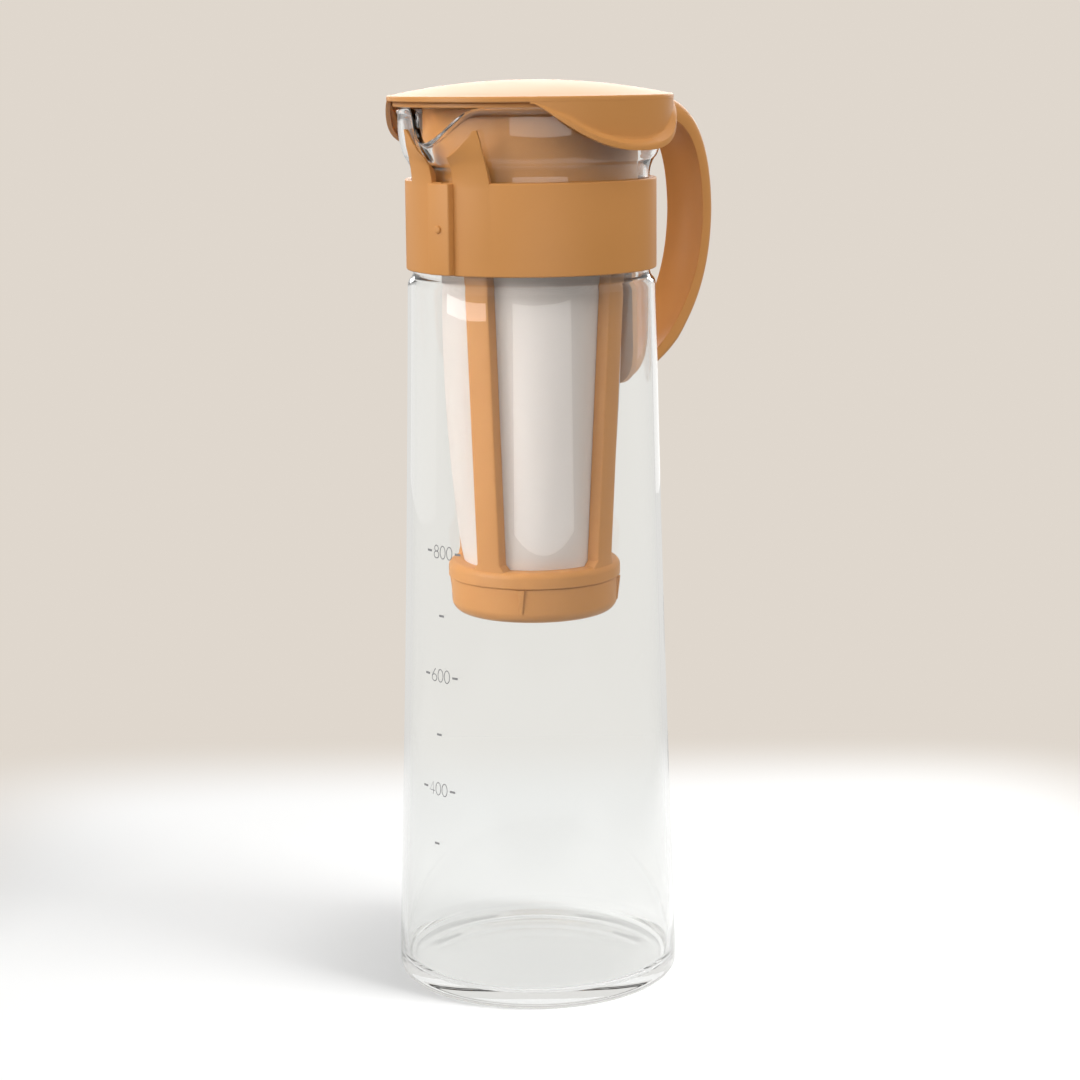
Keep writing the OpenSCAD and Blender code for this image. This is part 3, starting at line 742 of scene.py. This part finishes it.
# Light shows between the threads a little, and some of it spreads through them.
between_threads, on_thread, lit_through = 0.88, 0.99, 0.18
high = place.maths("MAXIMUM", thread(bearing * threads_round),
                   thread(part(place, "Z") * (math.pi / thread_pitch)))
feed(shader, "Base Color", tinted(high, (0.84, 0.74, 0.67, 1), (0.95, 0.87, 0.81, 1)))
feed(shader, "Roughness", 0.75 - 0.2 * high)
crumple = raised(noise(place, 45.0, 2.0), 0.35, 0.0015)
feed(shader, "Normal", raised(high, 0.15, 0.0001, crumple))
feed(shader, "Alpha", place.node("MapRange", {}, {"Value": high, "From Min": 0.35,
                                                  "From Max": 0.75, "To Min": between_threads,
                                                  "To Max": on_thread}, "Result"))
glowing = place.node("BsdfTranslucent", {}, {"Color": (0.86, 0.80, 0.76, 1)}, "BSDF")
lay_over(weave, shader, lit_through, glowing)
cloth.data.materials.append(weave)
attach(cloth, "strainer")
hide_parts("filter_mesh")


# ---- Strainer cap ----
# A shallow moulded cup that twists on under the strainer, with four grip ribs round it and a
# groove in its bore, by which it locks.
cap_h, cap_round, grip_rib_t, grip_rib_w = 0.01175, 0.004, 0.0009, 0.0024
cap_seam, cap_draft, cap_kick, cap_kick_w = 0.00005, 0.0003, 0.0003, 0.006
grip_rib_root, grip_rib_low = 0.001, 0.45
cap_top = seam_z - cap_seam
cap_bottom = cap_top - cap_h
cap_foot_r = cap_r - cap_draft
cap_bore = cap_r - cap_wall
cap_floor_z, cap_floor_round = cap_bottom + cap_wall, 0.0024
groove_z, groove_h, groove_depth = 0.1292, 0.0022, 0.00092
cup = [(0, cap_bottom + cap_kick), (cap_foot_r - cap_round - cap_kick_w, cap_bottom + fine_edge)]
cup += arc(cap_foot_r - cap_round, cap_bottom + cap_round, cap_round, -90, 0, 12)
cup += [(cap_r, cap_top - soft_edge), (cap_r - soft_edge, cap_top), (cap_bore + fine_edge, cap_top),
        (cap_bore, cap_top - fine_edge), (cap_bore, groove_z + groove_h),
        (cap_bore + groove_depth, groove_z + groove_h), (cap_bore + groove_depth, groove_z),
        (cap_bore, groove_z)]
cup += arc(cap_bore - cap_floor_round, cap_floor_z + cap_floor_round, cap_floor_round, 0, -90, 8)
cup += [(0, cap_floor_z)]
cap = spun("twist_cap", cup, 180)


def grip_rib_point(u, v, w):
    """A point of a grip rib, which grows wider and stands out further towards its top."""
    low, high = cap_bottom + cap_round - 2 * soft_edge, cap_top - soft_edge
    root, low_reach = cap_foot_r - grip_rib_root, cap_foot_r + soft_edge
    reach = low_reach + (cap_r + grip_rib_t - low_reach) * v
    across = (u - 0.5) * grip_rib_w * (grip_rib_low + (1 - grip_rib_low) * v)
    return root + (reach - root) * w, across, low + (high - low) * v


for i in range(4):
    rib = slab("grip_rib", 1, 1, grip_rib_point, soft_edge)
    rib.data.transform(Matrix.Rotation(math.radians(180 + cap_turn + 90 * i), 4, "Z"))
    combine(cap, rib, "UNION")
smooth(cap, 35)
moulded(cap, "cap", "strainer_cap")


# ---- Lid ----
# A thin moulding: a shallow dome whose ring below centres it in the strainer, and a wing on
# each side that hangs over the glass and flares to a lip for the fingers.
lid_r, lid_edge_t, lid_dome_h, lid_wall = 0.0457, 0.0018, 0.0046, 0.0015
wing_h, wing_half, wing_flare, wing_lip_h, wing_recess = 0.015, 47, 0.0029, 0.0036, 0.00005
plug_h, plug_gap = 0.008, 0.0003
lid_round, dome_start, plug_root_h = 0.0007, 0.0012, 0.0014
wing_least, wing_root, wing_round = 0.0004, 0.0006, 0.0004
lid_under = flange_top
lid_edge_top = lid_under + lid_edge_t
plug_r = tube_in - plug_gap
plug_low = lid_under - plug_h
plug_in = plug_r - lid_wall
dome_in = lid_dome_h - soft_edge
shell = [(plug_r, lid_under), (lid_r - soft_edge, lid_under), (lid_r, lid_under + soft_edge)]
shell += arc(lid_r - lid_round, lid_edge_top - lid_round, lid_round, 0, 80, 5)
shell += curve((lid_r - dome_start, lid_edge_top), (lid_r * 0.5, lid_edge_top + lid_dome_h),
               (0, lid_edge_top + lid_dome_h), 30)
shell += curve((0, lid_under + dome_in), (plug_r * 0.5, lid_under + dome_in),
               (plug_in, lid_under + plug_root_h), 16)
shell += [(plug_in, plug_low + soft_edge), (plug_in + soft_edge, plug_low),
          (plug_r - soft_edge, plug_low), (plug_r, plug_low + soft_edge), (plug_r, lid_under)]
lid = spun("winged_lid", shell, 180)


def wing_point(u, v, w):
    """A point of a wing: round the lid with u, up it with v and out through it with w."""
    degrees = 90 - wing_half + 2 * wing_half * u
    depth = wing_h * max(0.0, 1 - (abs(degrees - 90) / wing_half) ** 2.4) ** 1.4
    depth = max(wing_least, depth)
    below = depth * (1 - v) - wing_root * v
    lip = min(wing_lip_h, depth / 2)
    share = max(0.0, (below - depth + lip) / lip)
    turned_out = min(1.0, share * 1.7)
    flare_by = wing_flare * depth / wing_h * turned_out ** 2 * (3 - 2 * turned_out)
    inner = lid_r - lid_wall + flare_by * 0.9
    outer = lid_r - wing_recess + flare_by
    return at_bearing(inner + (outer - inner) * w, degrees, lid_under - below)


for side in (1, -1):
    wing = slab("wing", 60, 24, wing_point, wing_round)
    if side < 0:
        to_other_side()
    combine(lid, wing, "UNION")
smooth(lid, 35)
moulded(lid, "lid", "lid", "lid_wing_left", "lid_wing_right")


# ---- Table and backdrop ----
# A white painted sweep, bright round the jug and warm grey beyond, under a sky of the same
# colour, so that no horizon shows. Table and sky seen through the glass get a painted glow,
# which also hides the table's shade there. Plastic mirrors a dim room, and clear glass mirrors
# one that is dim in front of the jug and bright behind it.
beige = (0.740, 0.680, 0.612, 1)
# The sky seen through the glass: a painted glow, brighter than the beige outside it.
painted_glow_behind_glass = (0.845, 0.822, 0.79, 1)
dim_room = (0.22, 0.22, 0.22, 1)
mirrored_front, mirrored_behind, mirror_fade = (0.15, 0.15, 0.15, 1), (0.75, 0.74, 0.72, 1), 0.5
table_white = (0.78, 0.78, 0.775, 1)
table_glow = (0.14, 0.14, 0.138, 1)
# The table seen through the glass: a dull colour under a strong painted glow, which hides its
# shade.
table_in_glass, painted_glow_in_glass = (0.28, 0.28, 0.28, 1), (0.58, 0.58, 0.573, 1)
black = (0, 0, 0, 1)
white_half, white_fade, white_power = 0.235, 0.055, 6.0


def behind_jug(degrees, distance, height):
    """A place round the jug, at an angle from the camera's side, anticlockwise from above."""
    bearing = camera_heading + math.radians(degrees - 90)
    return distance * math.cos(bearing), distance * math.sin(bearing), height


def ray_kinds(path):
    """Two masks: for a ray that something reflects, and for one that clear glass lets through."""
    def only(kind, others):
        return path.node("Math", {"operation": "SUBTRACT", "use_clamp": True},
                         {0: ray(path, kind), 1: others})

    # A ray that clear glass lets through counts as glossy too, but not in its Glossy Depth.
    # One bounce of another kind, times the cut-off, clears a mask.
    cut_off = 9
    lighting = ray(path, "Diffuse Depth") * cut_off
    glossy = ray(path, "Glossy Depth") * cut_off
    return only("Is Glossy Ray", lighting), only("Transmission Depth", lighting + glossy)


def turned_inside(path):
    """A mask for a ray that clear glass let in, whatever its own faces did to it then."""
    let_in = path.maths("MINIMUM", ray(path, "Transmission Depth"), 1.0)
    return let_in * ray(path, "Is Singular Ray")


def seen_as(path, unlit, mirrored):
    """The backdrop's colour for a ray of each kind. Diffuse rays find the unlit colour."""
    reflected, in_glass = ray_kinds(path)
    shown = tinted(ray(path, "Is Camera Ray"), unlit, beige)
    clean = tinted(turned_inside(path), mirrored, mirrored_behind)
    in_mirror = tinted(ray(path, "Is Singular Ray"), dim_room, clean)
    return tinted(in_glass, tinted(reflected, shown, in_mirror), painted_glow_behind_glass)


def soft_step(signal, low, high):
    """Goes from 0 to 1 as a signal goes from one value to another."""
    return signal.node("MapRange", {"interpolation_type": "SMOOTHSTEP"},
                       {"Value": signal, "From Min": low, "From Max": high}, "Result")


pick()
bpy.ops.mesh.primitive_plane_add(size=30)
table = bpy.context.object
table.name = "table"
sweep, shader, place = finish("table_sweep")
turned = place.node("VectorRotate", {"rotation_type": "Z_AXIS"},
                    {"Vector": place, "Angle": -camera_heading})


def share_of_edge(axis):
    """How near a point is to the white field's edge along one axis, to a high power."""
    size = turned.maths("ABSOLUTE", part(turned, axis) * (1 / white_half))
    return turned.maths("POWER", size, white_power)


reach = place.maths("POWER", share_of_edge("X") + share_of_edge("Y"), 1 / white_power)
far = soft_step(reach, 1.0 - white_fade / white_half, 1.0 + white_fade / white_half)
# Clean reflections are dim on the camera's side and bright behind the jug.
mirrored = tinted(soft_step(part(turned, "Y"), -mirror_fade, mirror_fade),
                  mirrored_front, mirrored_behind)
# Through the glass, the table gets a painted glow that hides its shade.
in_glass = place.maths("MAXIMUM", ray_kinds(place)[1], turned_inside(place))
white = tinted(in_glass, table_white, table_in_glass)
glow = tinted(in_glass, table_glow, painted_glow_in_glass)
shader.inputs["Roughness"].default_value = 0.9
shader.inputs["Specular IOR Level"].default_value = 0.0
feed(shader, "Base Color", tinted(far, white, black))
feed(shader, "Emission Color", tinted(far, glow, seen_as(place, black, mirrored)))
shader.inputs["Emission Strength"].default_value = 1.0
table.data.materials.append(sweep)

world = bpy.data.worlds.new("studio")
bpy.context.scene.world = world
world.use_nodes = True
sky = world.node_tree.nodes["Background"]
path = Signal(sky.inputs["Color"])
ambient = (0.30, 0.30, 0.30, 1)
feed(sky, "Color", seen_as(path, ambient, mirrored_behind))


# ---- Lamps ----
# Six broad soft walls stand round the jug, a little brighter on the left, with a softbox on the
# left and one above on the right. Cards in front, on the left and behind only show as
# reflections. The box on the far right lights the table alone and throws the shadow.
wall_radiance = {-150: 2.0, -90: 2.2, -30: 1.45, 30: 1.0, 90: 1.5, 150: 1.5}
# Each lamp has its angle, its distance, its height, its width, how tall it is, and its radiance.
lamps = [("wall", degrees, 2.2, 1.35, 2.6, 1.6, wall_radiance[degrees])
         for degrees in wall_radiance]
lamps += [("over_right", 55, 0.80, 1.25, 0.8, 0.8, 1.5),
          ("box_left", -66, 1.30, 0.56, 0.95, 0.9, 2.5),
          ("table_right", 66, 2.6, 0.98, 1.3, 1.3, 41.0),
          ("card_front", 9, 0.82, 0.118, 0.80, 0.162, 2.7),
          ("card_left", -62, 0.80, 0.185, 0.6, 0.024, 5.0),
          ("card_rear_left", -122, 1.0, 0.12, 0.95, 0.5, 0.35),
          ("card_rear_right", 160, 1.0, 0.12, 0.6, 0.5, 0.5),
          ("card_behind", 178, 1.4, 0.80, 1.5, 0.95, 3.9)]
aim_z = 0.15
table_only = bpy.data.collections.new("table_only")
table_only.objects.link(table)
not_table = bpy.data.collections.new("not_table")
not_table.objects.link(table)
not_table.collection_objects[0].light_linking.link_state = "EXCLUDE"
for name, degrees, distance, height, width, tall, radiance in lamps:
    pick()
    bpy.ops.object.light_add(type="AREA")
    lamp = bpy.context.object
    lamp.name = name
    card = name.startswith("card")
    lamp.data.shape = "RECTANGLE"
    lamp.data.size, lamp.data.size_y = width, tall
    lamp.data.energy = radiance * math.pi * width * tall
    spot = Vector(behind_jug(degrees, distance, height))
    target = Vector((0, 0, height if card else aim_z))
    aim = (target - spot).to_track_quat("-Z", "Y")
    lamp.matrix_world = Matrix.Translation(spot) @ aim.to_matrix().to_4x4()
    lamp.visible_camera = False
    lamp.visible_transmission = False
    lamp.visible_diffuse = not card
    lamp.visible_glossy = name.startswith(("card", "box"))
    # Light sampling alone finds the other lamps, so none of them is left to chance hits.
    lamp.data.cycles.use_multiple_importance_sampling = card
    lamp.light_linking.receiver_collection = table_only if name == "table_right" else not_table
